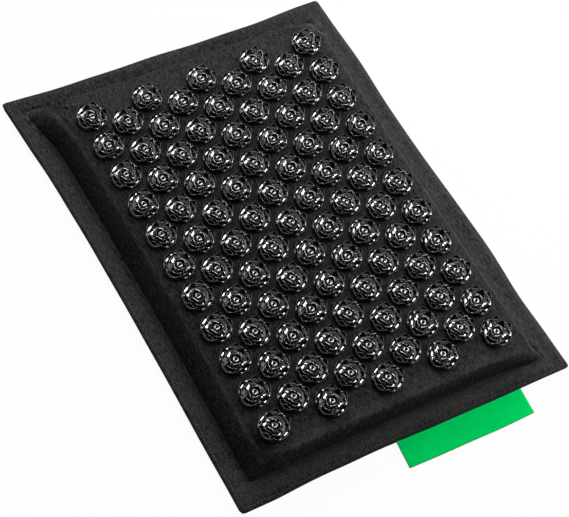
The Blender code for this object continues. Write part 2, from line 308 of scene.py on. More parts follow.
def newPiece(name, points, faces, material, uv=None, attribute=None, sharp=None):
    # a smooth mesh; UV and attribute hold one entry for each point, sharp is the angle of an edge that stays
    mesh = bpy.data.meshes.new(name)
    mesh.from_pydata(np.asarray(points).tolist(), [], faces if isinstance(faces, list) else faces.tolist())
    if uv is not None:
        corner = np.empty(len(mesh.loops), np.int32)
        mesh.loops.foreach_get("vertex_index", corner)
        mesh.uv_layers.new(name="cloth").data.foreach_set("uv", np.asarray(uv, np.float32)[corner].ravel())
    if attribute is not None:
        values = mesh.attributes.new(attribute[0], "FLOAT", "POINT").data
        values.foreach_set("value", attribute[1].astype(np.float32))
    mesh.shade_smooth()
    if sharp is not None:
        mesh.set_sharp_from_angle(angle=math.radians(sharp))
    mesh.materials.append(material)
    return addObject(name, mesh)


def sines(seed, count, shortest, longest):
    # a row of waves for ripple(): direction, number of waves and start, the same on every run
    chance = np.random.default_rng(seed)
    length = np.exp(chance.uniform(math.log(shortest), math.log(longest), count))
    angle = chance.uniform(0, 2 * math.pi, count)
    return np.stack([2 * math.pi / length * np.cos(angle), 2 * math.pi / length * np.sin(angle),
                     chance.uniform(0, 2 * math.pi, count)], -1)


def ripple(waves, x, y):
    # mean of crossed sines, about -1 to 1
    return np.sin(x[..., None] * waves[:, 0] + y[..., None] * waves[:, 1] + waves[:, 2]).mean(-1) * 2


cover = dict(
    halfX=142.0 * mm, halfY=192.5 * mm, sidePull=1.6 * mm, cloth=0.8 * mm, outerCorner=2.6 * mm,
    padCorner=3.5 * mm, cornerDrop=0.7, cornerReach=17 * mm,
    # the pad's stitched foot lies seamDepth below the flange, and its flank climbs to topEdge over flankRun
    flange=17.5 * mm, flangeTop=3.3 * mm, seamDepth=0.7 * mm, flankRun=7.4 * mm, topEdge=19.1 * mm,
    # profiles of the flank: a power for the near side, slope and bend for the others
    square=2.1, farLean=(1.6, 0.15), leftLean=(1.22, 0.48), rightLean=(1.5, 0.3), ridge=0.03,
    # depth, place from the left edge and width of the sink; depth and radius of the dip under a disc
    crown=1.2 * mm, leftSink=(2.0 * mm, 21.5 * mm, 8 * mm), discDip=(0.35 * mm, 12.5 * mm), pucker=0.16 * mm,
    cornerFold=0.48 * mm, topRipple=0.16 * mm,
    # in mm, how far each side drifts outwards, from its -X or -Y end to its +X or +Y end
    drift=dict(left=(1.5, 1.1, 1.0, 0.9, 1.0, 2.4, 5.8), right=(3.4, 2.6, 3.8, 1.6, 0.2, 0.3, -2.2),
               near=(2.9, 1.6, 0.6, 0.6, 0.8, 0.3, -1.0), far=(2.6, 0.8, 0.9, 1.0, -0.4, 0.5, 1.2)),
    # in mm, how far each side lifts off the floor, the same way round
    lift=dict(left=(1.0, 0.6, 1.2, 0.8, 1.4, 0.9, 0.2), right=(1.6, 0.8, 2.2, 1.3, 0.6, 1.2, 0.8),
              near=(1.0, 0.7, 1.5, 0.6, 0.8, 1.4, 1.6), far=(0.2, 1.0, 1.7, 0.7, 1.4, 0.9, 0.8)),
    # in mm, rise of the right border beside the pad, then its place from the edge and its width
    rightSwell=(0.4, 1.0, 1.3, 1.5, 1.3, 1.2, 0.5), swellBand=(14 * mm, 4.5 * mm),
    # how far the pad's left, right and near, far shoulders move, and its left foot
    shiftX=(3.0 * mm, 0.0), shiftY=(-2.3 * mm, 0.0), footShift=-1.5 * mm,
    # corners of the pad that the cover draws out: side of each axis, how far it moves, and how far round it
    drawnOut=((-1, 1, -6.0 * mm, 5.5 * mm, 27 * mm), (1, -1, 4.5 * mm, -2.0 * mm, 20 * mm)),
    # painted light, lighter cloth for sheen along edges and light on borders: share, place and width at
    # the right side's foam edge, hem and seam, then shares on the left, right and near borders
    paintedLightRight=((0.5, 22.6 * mm, 1.7 * mm), (0.32, 0, 3.0 * mm), (0.17, 13.5 * mm, 3.2 * mm)),
    paintedLightBorders=(0.10, 0.02, 0.14), counts=(112, 160),
)
halfX, halfY, flange = cover["halfX"], cover["halfY"], cover["flange"]
flankRun, topEdge, seamZ = cover["flankRun"], cover["topEdge"], cover["flangeTop"] - cover["seamDepth"]
edgeWaves = sines(12, 6, 45 * mm, 130 * mm)
topWaves = sines(13, 9, 14 * mm, 60 * mm)
# steps of the flank from the seam inwards, 1 where the round profile is level; closer together at the foot
flankShares = 1.22 * np.linspace(0, 1, 25) ** 1.5
flankEnd = flange + flankShares[-1] * flankRun


def settle(points):
    # Drift and lift of the border: none inside the pad, all of it past the cover's edge. Each side has its
    # own curve, read along the side and blended by how near the point is to it.
    x, y, z = points[..., 0], points[..., 1], points[..., 2]
    alongX, alongY = (x / halfX + 1) / 2, (y / halfY + 1) / 2
    left, right = (smoothstep(halfX - flange, halfX, way * x) for way in (-1, 1))
    near, far = (smoothstep(halfY - flange, halfY, way * y) for way in (-1, 1))
    drift, lift = ([share * curveThrough(cover[kind][side], along)
                    for side, share, along in (("left", left, alongY), ("right", right, alongY),
                                               ("near", near, alongX), ("far", far, alongX))]
                   for kind in ("drift", "lift"))
    wander = ripple(edgeWaves, x, y) * 0.3 * mm
    driftX = (drift[1] - drift[0]) * mm + (right + left) * wander
    driftY = (drift[3] - drift[2]) * mm + (far + near) * wander
    share = np.max([left, right, near, far], 0)
    rise = (np.max(lift, 0) + share * ripple(edgeWaves, y, -x) * 0.3) * mm
    swell = hill(halfX - x, *cover["swellBand"]) * (1 - near) * (1 - far)
    rise = rise + swell * curveThrough(cover["rightSwell"], alongY) * mm
    return np.stack([x + driftX, y + driftY, z + np.maximum(rise, 0)], -1)


def outline(inset, corner, counts):
    # A closed loop of points for each inset: a rectangle with round corners and sides drawn in as parabolas,
    # with even steps from the middle of one corner's arc to the middle of the next.
    inset = np.asarray(inset, float)[:, None]
    corner = np.broadcast_to(np.asarray(corner, float), inset[:, 0].shape)[:, None]
    sides = []
    for quarter in range(4):
        long = quarter % 2
        length, depth = 2 * ((halfY if long else halfX) - inset), (halfX if long else halfY) - inset
        arc = corner * math.pi / 4
        s = (length - 2 * corner + 2 * arc) * np.arange(counts[long]) / counts[long]
        turnLeft = math.pi / 4 - np.clip(s, 0, arc) / corner
        turnRight = np.clip(s - (length - 2 * corner + arc), 0, arc) / corner
        along = corner - corner * np.sin(turnLeft) + np.clip(s - arc, 0, length - 2 * corner) \
            + corner * np.sin(turnRight)
        share = np.clip((along - corner) / (length - 2 * corner), 0, 1)
        inwards = 2 * corner - corner * np.cos(turnLeft) - corner * np.cos(turnRight)
        inwards = inwards + cover["sidePull"] * (1 - (2 * share - 1) ** 2)
        a, b = length / 2 - along, depth - inwards
        cos, sin = math.cos(math.pi / 2 * quarter), math.sin(math.pi / 2 * quarter)
        sides.append(np.stack([a * cos - b * sin, a * sin + b * cos], -1))
    return np.concatenate(sides, 1)


def capGrid(loop, counts, start):
    # Fills the last loop before start with a grid. An inner point blends the points across from it on the
    # four sides, less the blend of the four corners.
    across, along = counts
    ids = np.zeros((across + 1, along + 1), np.int64)
    order = np.arange(len(loop))
    ids[:-1, 0], ids[-1, :-1] = order[:across], order[across:across + along]
    ids[:0:-1, -1], ids[0, :0:-1] = order[across + along:2 * across + along], order[2 * across + along:]
    ids[1:-1, 1:-1] = len(loop) + np.arange((across - 1) * (along - 1)).reshape(across - 1, -1)
    top, low, left, right = loop[ids[:, 0]], loop[ids[:, -1]], loop[ids[-1]], loop[ids[0]]
    s = np.linspace(0, 1, across + 1)[1:-1, None, None]
    t = np.linspace(0, 1, along + 1)[None, 1:-1, None]
    inner = (1 - t) * top[1:-1, None] + t * low[1:-1, None] \
        + (1 - s) * right[None, 1:-1] + s * left[None, 1:-1] \
        - ((1 - s) * (1 - t) * top[0] + s * (1 - t) * top[-1] + (1 - s) * t * low[0] + s * t * low[-1])
    quads = np.stack([ids[:-1, :-1], ids[1:, :-1], ids[1:, 1:], ids[:-1, 1:]], -1).reshape(-1, 4)
    return inner.reshape(-1, 2), quads + start - len(loop)


def crownHeight(x, y):
    # Height of the pad's top: its edge, plus a low crown that is a parabola to the middle each way, less a
    # bell-shaped sink beside the left shoulder.
    crown = cover["crown"]
    for value, half in ((x, halfX), (y, halfY)):
        share = np.clip((half - flange - flankRun - np.abs(value)) / (halfX - flange - flankRun), 0, 1)
        crown = crown * (1 - (1 - share) ** 2)
    depth, place, width = cover["leftSink"]
    return topEdge + crown - depth * hill(halfX + x, place, width)


# the columns are as long as rows and one shorter by turns
discGrid = dict(columns=9, rows=11, step=(24.2 * mm, 29.5 * mm), middle=(2 * mm, -2 * mm))
discPlaces = []
for column in range(discGrid["columns"]):
    count = discGrid["rows"] - column % 2
    for row in range(count):
        steps = column - (discGrid["columns"] - 1) / 2, (count - 1) / 2 - row
        x, y = (n * step + middle for n, step, middle in zip(steps, discGrid["step"], discGrid["middle"]))
        discPlaces.append((column, row, x, y))


def topHeight(x, y):
    # Cloth on the pad: the crown, a slow ripple, and a shallow dip with a steep rim under every disc.
    depth, radius = cover["discDip"]
    dip = np.zeros_like(x)
    for _, _, discX, discY in discPlaces:
        dip = dip + hill((x - discX) ** 2 + (y - discY) ** 2, 0, radius ** 2)
    return crownHeight(x, y) + cover["topRipple"] * ripple(topWaves, x, y) - depth * np.minimum(dip, 1)


def leaning(share, slope, bend):
    # a straight climb that rounds over to stay at 1
    climb = slope * share
    over = np.clip((climb - 1 + bend) / (2 * bend), 0, 1)
    return np.where(climb > 1 + bend, 1, climb - bend * over ** 2)


def flankClimb(share):
    # Near, far, left and right profile, 0 at the seam to 1 on top: a superellipse, then steep, long and steep
    # leans, with the foam's cut edge as a low ridge on the right one.
    power = cover["square"]
    near = (1 - (1 - np.clip(share, 0, 1)) ** power) ** (1 / power)
    far, left, right = (leaning(share, *cover[side + "Lean"]) for side in ("far", "left", "right"))
    return near, far, left, right + cover["ridge"] * hill(share, 0.74, 0.1)


def onPad(inset):
    # 0 on the flank to 1 where the top begins
    return smoothstep(flange + 0.8 * flankRun, flankEnd, inset)


def sideShare(x, y, way):
    # 1 along the left (way -1) or right (way 1) side, 0 along the others, half on its corners' diagonals
    return smoothstep(-8 * mm, 8 * mm, (halfY - np.abs(y)) - (halfX - way * x))


def fromEdge(x, y):
    # how far inside the straight outline a point is
    return np.minimum(halfX - np.abs(x), halfY - np.abs(y))


def sideShift(x, y):
    # Moves the pad's shoulders and its left foot, nothing at the edge or by the discs, and draws out corners
    # by a bell curve round each.
    moved = []
    for value, half, (low, high), foot in ((x, halfX, cover["shiftX"], cover["footShift"]),
                                           (y, halfY, cover["shiftY"], 0)):
        inset = half - np.abs(value)
        climbed = smoothstep(flange, flankEnd, inset)
        shoulder = climbed * (1 - smoothstep(flankEnd, flankEnd + 15 * mm, inset))
        seam = smoothstep(5 * mm, flange, inset) * (1 - climbed)
        moved.append(shoulder * np.where(value < 0, low, high) + seam * np.where(value < 0, foot, 0))
    inside = smoothstep(1 * mm, flange, fromEdge(x, y))
    for wayX, wayY, drawX, drawY, reach in cover["drawnOut"]:
        pull = inside * hill(np.hypot(x - wayX * (halfX - flange), y - wayY * (halfY - flange)), 0, reach)
        moved = [moved[0] + drawX * pull, moved[1] + drawY * pull]
    return np.stack(moved, -1)


def drape(points):
    # Changes points in place: near the pad's corners, where the cloth is drawn out to a point, a share of the
    # height above the seam is lost; then shoulders and corners move.
    x, y = points[:, 0].copy(), points[:, 1].copy()
    above = np.clip(points[:, 2] - seamZ, 0, None) * (fromEdge(x, y) > flange - 0.2 * mm)
    away = np.hypot(halfX - flange - np.abs(x), halfY - flange - np.abs(y))
    points[:, 2] -= above * cover["cornerDrop"] * hill(away, 0, cover["cornerReach"])
    points[:, :2] += sideShift(x, y)


def coverLevels():
    # Profile of the top cloth as inset, height and corner radius: turned hem, rim, border with a groove for
    # its stitches, seam, flank and the start of the top.
    top = cover["flangeTop"]
    hem = np.array([(8.0, 1.75), (6.0, 1.78), (4.0, 1.80), (2.2, 1.80), (0.9, 1.80), (0.25, 1.92),
                    (0.0, 2.25), (0.2, 2.62), (0.8, 2.92)]) * mm
    d = np.linspace(1.6 * mm, flange - 2.0 * mm, 13)
    plump = 0.25 * mm * np.sin(math.pi * (d / flange)) - 0.28 * mm * hill(d, 3.0 * mm, 0.9 * mm)
    border = np.stack([d, top - 0.12 * mm + plump], -1)
    seam = [(flange - 1.3 * mm, top - 0.16 * mm), (flange - 0.8 * mm, top - 0.4 * mm),
            (flange - 0.35 * mm, seamZ + 0.04 * mm), (flange, seamZ)]
    share = flankShares[1:]
    flank = np.stack([flange + flankRun * share, seamZ + (topEdge - seamZ) * flankClimb(share)[0]], -1)
    flat = [(flankEnd + step * mm, topEdge) for step in (0.8, 1.8, 3.0, 4.2, 5.6)]
    inset, height = np.concatenate([hem, border, seam, flank, flat]).T
    corner = between((cover["outerCorner"], cover["padCorner"]), np.clip(inset / flange, 0, 1))
    return inset, height, between((corner, 0.4 * mm), smoothstep(flange + flankRun, inset[-1], inset))


def seamPuckers(loop, chance):
    # sines of five wave numbers round the loop, in patches of varying strength
    length = np.cumsum(np.linalg.norm(np.diff(loop, axis=0, prepend=loop[-1:]), axis=1))
    lap = 2 * math.pi * length / length[-1]
    waves = sum(np.sin(lap * number + chance.uniform(0, 6.3)) for number in (150, 171, 208, 233, 264)) / 2.6
    return cover["pucker"] * waves * (0.55 + 0.45 * np.sin(lap * 9 + 1.0) * np.sin(lap * 5))


def cornerFolds(x, y, inset, chance):
    # folds that fan out from the pad's corners: two waves round each corner's centre, within a ring round it
    folds = 0
    for wayX, wayY in ((-1, -1), (-1, 1), (1, -1), (1, 1)):
        besideX, besideY = (value - way * (half - flange - flankRun - 4 * mm)
                            for value, way, half in ((x, wayX, halfX), (y, wayY, halfY)))
        away, angle, swing = np.hypot(besideX, besideY), np.arctan2(besideY, besideX), chance.uniform(0, 6.3)
        fan = np.sin(9 * angle + swing) + 0.6 * np.sin(15 * angle + 2 * swing)
        folds = folds + fan * smoothstep(2 * mm, 9 * mm, away) * (1 - smoothstep(14 * mm, 34 * mm, away))
    return cover["cornerFold"] * folds * smoothstep(9 * mm, 15 * mm, inset)


def paintedLightShares(inset, onLeft, onRight, onNear):
    # painted light: bell curves across the right side, and level bands on three of the borders
    atLeft, atRight, atNear = cover["paintedLightBorders"]
    drawn = sum(share * hill(inset, place, width) for share, place, width in cover["paintedLightRight"])
    band = smoothstep(0, 4 * mm, inset) * (1 - smoothstep(12 * mm, 16 * mm, inset))
    nearBand = smoothstep(3 * mm, 9 * mm, inset) * (1 - smoothstep(17.2 * mm, 18.2 * mm, inset)) \
        + 0.7 * hill(inset, 27 * mm, 3.5 * mm)
    return onRight * (drawn + atRight * band) + onLeft * atLeft * band + onNear * atNear * nearBand


def coverPoints():
    # Top cloth: loops of the profile round a grid. Each side's flank has its own climb, the top takes its
    # height from the pad, and puckers and folds lie along the seam.
    inset, height, corner = coverLevels()
    loops = outline(inset, corner, cover["counts"])
    levels, around = loops.shape[:2]
    inner, capQuads = capGrid(loops[-1], cover["counts"], levels * around)
    x, y = loops[..., 0], loops[..., 1]
    run = np.concatenate([[0], np.cumsum(np.hypot(np.diff(inset), np.diff(height)))])
    extra = (run - run[-1] - (inset - inset[-1]))[:, None, None]
    inset, height, corner = inset[:, None], height[:, None], corner[:, None]
    near, far, left, right = flankClimb(np.clip((inset - flange) / flankRun, 0, None))
    onLeft, onRight = sideShare(x, y, -1), sideShare(x, y, 1)
    others = 1 - onLeft - onRight
    climb = onLeft * (left - near) + onRight * (right - near) + others * (y > 0) * (far - near)
    z = height + (inset > flange) * climb * (topEdge - seamZ) + onPad(inset) * (topHeight(x, y) - topEdge)
    chance = np.random.default_rng(5)
    z = z + seamPuckers(loops[20], chance) * hill(inset, flange, 3.4 * mm)      # loop 20 is on the border
    z = z + cornerFolds(x, y, inset, chance)
    ring = np.stack([x, y, z], -1).reshape(-1, 3)
    points = np.concatenate([ring, np.column_stack([inner, topHeight(*inner.T)])])
    drape(points)
    # the flank and hem are unrolled, so that the weave keeps its size there
    uv = points[:, :2].copy()
    side = np.stack([np.abs(x) - (halfX - inset) > -corner * 0.6,
                     np.abs(y) - (halfY - inset) > -corner * 0.6], -1)
    uv[:len(ring)] += (np.stack([np.sign(x), np.sign(y)], -1) * side * -extra).reshape(-1, 2)
    # painted light on the loops of the profile, none on the top's grid
    paintedLight = np.zeros(len(points))
    paintedLight[:len(ring)] = paintedLightShares(inset, onLeft, onRight, others * (y < 0)).ravel()
    return settle(points), np.concatenate([gridFaces(levels, around), capQuads]), uv, paintedLight


clothTop = clothMaterial("linen_top")
clothBack = clothMaterial("linen_back", tone=0.85, threadScale=0.9)
discBlack = plasticMaterial("moulded_black")
ribbonGreen = ribbonMaterial("satin_ribbon")
foamCream = foamMaterial("open_cell_foam")
threadBlack = threadMaterial("sewing_thread")
hookTape = tapeMaterial("hook_tape", 900.0)
loopTape = tapeMaterial("loop_tape", 1500.0)
print("materials ready")

points, faces, uv, paintedLight = coverPoints()
# the cover takes its painted light along as a point attribute
coverTop = newPiece("cover_top", points, faces, clothTop, uv, attribute=("paintedLight", paintedLight))
shell = coverTop.modifiers.new("solidify", "SOLIDIFY")
shell.thickness, shell.offset, shell.use_even_offset = cover["cloth"], -1.0, True
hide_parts("top_panel")
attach(coverTop, "root")
print("cover top:", len(points), "points")


# gap: how far inside the cloth it stays; room: from where to where along y it rises over the tongue
foam = dict(bottom=1.35 * mm, gap=0.95 * mm, tongueTop=4.9 * mm, room=(25.5 * mm, 93.6 * mm), counts=(60, 84))


def squareTo(path):
    # unit normals along a path of points in a plane, a quarter turn left of its direction
    ahead = np.gradient(path, axis=0)
    return np.stack([-ahead[:, 1], ahead[:, 0]], -1) / np.linalg.norm(ahead, axis=1)[:, None]


def foamPoints():
    # Slab under the cloth: foot, flank and top as loops, closed by grids. Its flank is the cover's long lean,
    # moved inwards square to itself, and its underside steps up over the back's tongue.
    gap, bottom = cover["cloth"] + foam["gap"], foam["bottom"]
    top = topEdge - gap
    share = np.linspace(0.1, flankShares[-1], 14)
    flank = np.stack([flange + flankRun * share, seamZ + (topEdge - seamZ) * flankClimb(share)[2]], -1)
    flank = flank - gap * squareTo(flank)
    edge = flank[0, 0]
    profile = np.concatenate([[(edge + 1.2 * mm, bottom), (edge + 0.3 * mm, bottom + 0.2 * mm)], flank,
                              [(flank[-1, 0] + step * mm, top) for step in (1.5, 4.0)]])
    profile[:, 1] = np.minimum(profile[:, 1], top)
    corner = np.full(len(profile), cover["padCorner"])
    corner[-1] = 1.0 * mm
    loops = outline(profile[:, 0], corner, foam["counts"])
    levels, around = loops.shape[:2]
    x, y = loops[..., 0], loops[..., 1]
    z = profile[:, 1:] + onPad(profile[:, :1]) * (crownHeight(x, y) - topEdge)
    innerTop, quadsTop = capGrid(loops[-1], foam["counts"], levels * around)
    topPoints = np.column_stack([innerTop, top + crownHeight(*innerTop.T) - topEdge])
    # the underside is the same grid laid in the first loop, turned over
    innerLow, quadsLow = capGrid(loops[0], foam["counts"], around)
    shift = levels * around + len(topPoints) - around
    quadsLow = np.where(quadsLow >= around, quadsLow + shift, quadsLow)[:, ::-1]
    lowPoints = np.column_stack([innerLow, np.full(len(innerLow), bottom)])
    points = np.concatenate([np.stack([x, y, z], -1).reshape(-1, 3), topPoints, lowPoints])
    drape(points)
    start, end = foam["room"]
    room = smoothstep(start - 2 * mm, start, points[:, 1]) * (1 - smoothstep(end, end + 2 * mm, points[:, 1]))
    points[:, 2] = np.maximum(points[:, 2], between((bottom, foam["tongueTop"]), room))
    return points, np.concatenate([gridFaces(levels, around), quadsTop, quadsLow])


points, faces = foamPoints()
foamPad = newPiece("foam_pad", points, faces, foamCream, sharp=50)
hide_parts("foam_core")
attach(foamPad, "root")
print("foam:", len(points), "points")


back = dict(
    cloth=1.0 * mm, inset=0.4 * mm, across=64, opening=30.5 * mm, tongueEnd=92.5 * mm, tongueHalf=118.5 * mm,
    tongueZ=3.5 * mm,
)
backEnd = halfY - back["inset"] - cover["sidePull"]


def roundedHalf(y):
    # half the width of the back cloth at this place along the mat: drawn in as a parabola, with round corners
    corner = cover["outerCorner"]
    past = np.clip(np.abs(y) - (backEnd - corner), 0, corner)
    draw = cover["sidePull"] * (1 - (y / backEnd) ** 2)
    return halfX - back["inset"] - draw - corner + np.sqrt(corner ** 2 - past ** 2)


def clothSlab(places, half, height):
    # A flat cloth as a closed grid of sections, one at each place, over the top from left to right and back
    # below; height gives the underside at (x, y).
    s = np.linspace(-1, 1, back["across"])
    shape = np.sign(s) * (1 - (1 - np.abs(s)) ** 1.15)
    across, up = np.concatenate([shape, shape[::-1]]), np.repeat([1.0, 0.0], len(s))
    x = across * half[:, None]
    y = np.repeat(places[:, None], len(up), 1)
    points = np.stack([x, y, height(x, y) + up * back["cloth"]], -1).reshape(-1, 3)
    return points, tubeFaces(len(places), len(up))


arcY = backEnd - cover["outerCorner"] * (1 - np.sin(math.pi / 2 * np.linspace(0, 0.985, 9)))
mainY = np.concatenate([-arcY[::-1], np.linspace(-arcY[0], back["opening"] - 3.6 * mm, 112)[1:]])
riser = np.linspace(back["opening"] - 3.2 * mm, back["opening"] - 0.4 * mm, 8)
tongue = np.linspace(back["opening"] + 1.0 * mm, back["tongueEnd"], 34)
places = np.concatenate([mainY, riser, [riser[-1] + 0.05 * mm], tongue])
half = np.where(places <= riser[-1], roundedHalf(places), back["tongueHalf"])


def tongueHeight(x, y):
    # nothing up to the riser, then up by a smooth step to the tongue; beside the tongue the cloth stays down
    beside = smoothstep(back["tongueHalf"] - 2 * mm, back["tongueHalf"], np.abs(x)) * (y <= riser[-1])
    return smoothstep(riser[0], riser[-1], y) * back["tongueZ"] * (1 - beside)


points, faces = clothSlab(places, half, tongueHeight)
backMain = newPiece("back_main", settle(points), faces, clothBack, points[:, :2], sharp=60)
flapY = np.concatenate([np.linspace(back["opening"], arcY[0], 84), arcY[1:]])
points, faces = clothSlab(flapY, roundedHalf(flapY), lambda x, y: 0 * x)
backFlap = newPiece("back_flap", settle(points), faces, clothBack, points[:, :2], sharp=60)
for piece, node in ((backMain, "back_panel_main"), (backFlap, "back_panel_flap")):
    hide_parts(node)
    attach(piece, "root")
print("back cloths done")


strips = dict(
    length=200 * mm, width=25 * mm, thick=0.8 * mm, middleY=61.5 * mm, loopZ=1.3 * mm, hookZ=2.4 * mm,
)


def tapePoints(bottom, pileUp):
    # a tape as a closed grid: thin selvedges, and a raised field of pile between them on one face
    thick, right = strips["thick"], np.array([6, 10.2, 10.6, 11.2, 12.3, 12.5]) * mm
    across = np.concatenate([-right[::-1], [0], right])
    rim = np.array([0.5] + [1] * 11 + [0.5])
    face = (0.8 - 0.35 * smoothstep(10.2 * mm, 10.6 * mm, np.abs(across))) * thick * rim
    flat = 0.1 * thick * (1 - rim)
    upper, lower = (face, flat) if pileUp else (thick - flat, thick - face)
    x = np.linspace(-0.5, 0.5, 60)[:, None] * strips["length"]
    x, y, z = np.broadcast_arrays(x, np.concatenate([across, across[::-1]]),
                                  np.concatenate([upper, lower[::-1]]))
    points = np.stack([x, y + strips["middleY"], z + bottom], -1).reshape(-1, 3)
    return points, tubeFaces(*x.shape)[:, ::-1], np.stack([x, y], -1).reshape(-1, 2)


for name, node, bottom, pileUp, finish in (("loop_tape", "loop_strip", strips["loopZ"], True, loopTape),
                                           ("hook_tape", "hook_strip", strips["hookZ"], False, hookTape)):
    points, faces, uv = tapePoints(bottom, pileUp)
    tape = newPiece(name, points, faces, finish, uv, sharp=40)
    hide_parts(node)
    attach(tape, "root")
print("strips done")


label = dict(
    width=110.6 * mm, reach=22.4 * mm, root=6.0 * mm, rootZ=1.75 * mm, endZ=1.05 * mm, centreX=45.0 * mm,
    skew=-1.8 * mm, thick=0.28 * mm, fold=0.55 * mm, apart=0.22 * mm, bulge=0.25 * mm,
)


def labelPoints():
    # Ribbon folded double, carried along its side view: out, round the fold, back in, as wide as the loop.
    # Its outer half dips gently towards the floor, and between root and fold the leaves part a little.
    rootY = -(halfY - cover["sidePull"] - label["root"])
    foldY = rootY - label["root"] - label["reach"] + label["fold"] + label["thick"] / 2
    t = np.linspace(0, 1, 26)
    y = between((rootY, foldY), t)
    middle = between((label["rootZ"], label["endZ"]), smoothstep(0.25, 1.0, t))
    half = between((label["apart"], label["fold"]), smoothstep(0.3, 1, t))
    half = half + label["bulge"] * np.sin(math.pi * t) ** 2
    turn = np.linspace(math.pi / 2, -math.pi / 2, 13)[1:-1]
    bend = np.array([foldY, label["endZ"]]) + label["fold"] * np.stack([-np.cos(turn), np.sin(turn)], -1)
    path = np.concatenate([np.stack([y, middle + half], -1), bend, np.stack([y, middle - half], -1)[::-1]])
    share = ((rootY - path[:, 0]) / (label["root"] + label["reach"]))[:, None]
    across = np.concatenate([[-0.5, -0.4985], np.linspace(-0.5, 0.5, 56)[1:-1], [0.4985, 0.5]])
    wall = label["thick"] / 2 * np.array([0.35] + [1] * (len(across) - 2) + [0.35])[:, None]
    x = (label["centreX"] + across * label["width"] + label["skew"] * share)[..., None]
    inner, outer = (np.concatenate([x, path[:, None] + squareTo(path)[:, None] * side * wall], -1)
                    for side in (-1, 1))
    section = np.concatenate([inner, outer[:, ::-1]], 1)
    run = np.concatenate([[0], np.cumsum(np.linalg.norm(np.diff(path, axis=0), axis=1))])
    there = np.concatenate([across, across[::-1]]) * label["width"]
    uv = np.stack(np.broadcast_arrays(there, run[:, None]), -1)
    wave = 0.2 + 0.14 * np.sin(section[..., 0] * 52 + 1.1) + 0.05 * np.sin(section[..., 0] * 131)
    section[..., 2] += smoothstep(0.25, 1.0, share) * wave * mm
    return section.reshape(-1, 3), tubeFaces(*section.shape[:2])[:, ::-1], uv.reshape(-1, 2), run[-1]


points, faces, uv, ribbonLength = labelPoints()
labelLoop = newPiece("label_loop", settle(points), faces, ribbonGreen, uv, sharp=60)
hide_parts("label")
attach(labelLoop, "root")
print("label done, ribbon", round(ribbonLength, 4), "m long")


# the outer row is inset by edge, its corners are wider than the cover's, and the back rows lie at below
stitch = dict(
    pitch=3.0 * mm, length=2.3 * mm, radius=0.20 * mm, bow=0.28 * mm, edge=3.0 * mm,
    edgeCorner=cover["outerCorner"] + 1 * mm, below=0.05 * mm,
)


def stitchRow(name, inset, height, corner, sink=0.12 * mm):
    # Stitches along a loop: short bowed tubes whose ends dip into the cloth. The thread's centre and its
    # radius rise and fall along a stitch as rounded half sines.
    loop = outline([inset], [corner], (600, 840))[0]
    loop = np.concatenate([loop, loop[:1]])
    run = np.concatenate([[0], np.cumsum(np.linalg.norm(np.diff(loop, axis=0), axis=1))])
    count = int(run[-1] / stitch["pitch"])
    t = np.linspace(0, 1, 6)
    place = (np.arange(count)[:, None] * run[-1] / count + t * stitch["length"]) % run[-1]
    x, y = (np.interp(place, run, line) for line in loop.T)
    z = height + stitch["bow"] * np.sin(math.pi * t) ** 0.6 - sink + 0 * x
    thick = stitch["radius"] * (0.45 + 0.55 * np.sin(math.pi * t) ** 0.5)
    ahead = np.stack([np.gradient(x, axis=1), np.gradient(y, axis=1)], -1)
    ahead = ahead / np.linalg.norm(ahead, axis=-1, keepdims=True)
    turn = np.linspace(0, 2 * math.pi, 6, endpoint=False)
    cos, sin = np.cos(turn), np.sin(turn)
    ring = np.stack(np.broadcast_arrays(-ahead[..., 1:] * cos, ahead[..., :1] * cos, sin), -1)
    points = (np.stack([x, y, z], -1)[:, :, None] + ring * thick[:, None, None]).reshape(-1, 3)
    points[:, :2] += sideShift(points[:, 0], points[:, 1])
    steps = (np.arange(count) * 36)[:, None, None]
    ends = np.stack([np.arange(6)[::-1], np.arange(30, 36)])
    faces = (gridFaces(6, 6) + steps).reshape(-1, 4).tolist() + (ends + steps).reshape(-1, 6).tolist()
    piece = newPiece(name, settle(points), faces, threadBlack)
    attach(piece, "root")


stitchRow("seam_stitches", flange, seamZ, cover["padCorner"])
stitchRow("edge_stitches", stitch["edge"], cover["flangeTop"] - 0.36 * mm, stitch["edgeCorner"])
stitchRow("seam_stitches_below", flange, stitch["below"], cover["padCorner"], sink=0.0)
stitchRow("edge_stitches_below", stitch["edge"], stitch["below"], stitch["edgeCorner"], sink=0.0)
print("stitching done")


disc = dict(
    # half section of the plate and hub as (radius, height), and the petals' wall at root and tip, in mm
    foot=((0.35, 0), (9.8, 0), (11.3, 0.2), (12.0, 0.8), (12.2, 1.7), (11.9, 2.4), (11.1, 2.5), (9.6, 1.7),
          (6.6, 1.5), (3.0, 1.5), (2.6, 2.2), (2.45, 3.9), (2.3, 4.4), (2.0, 4.6), (1.5, 4.6), (1.1, 4.35),
          (0.9, 3.6), (0.8, 2.6)),
    wall=(0.85, 0.5), around=48, sunk=0.25 * mm, foothold=8 * mm,
    # each column from its far end, 1 where a disc stands half a turn round; then the spread of its further
    # turn in degrees and of its tilt as a slope
    turned=("01010100110", "0010101010", "11010011101", "1011000100", "11100011000", "1011111000",
            "01111010011", "0001001000", "00011011011"),
    spread=(1.2, 0.004),
)
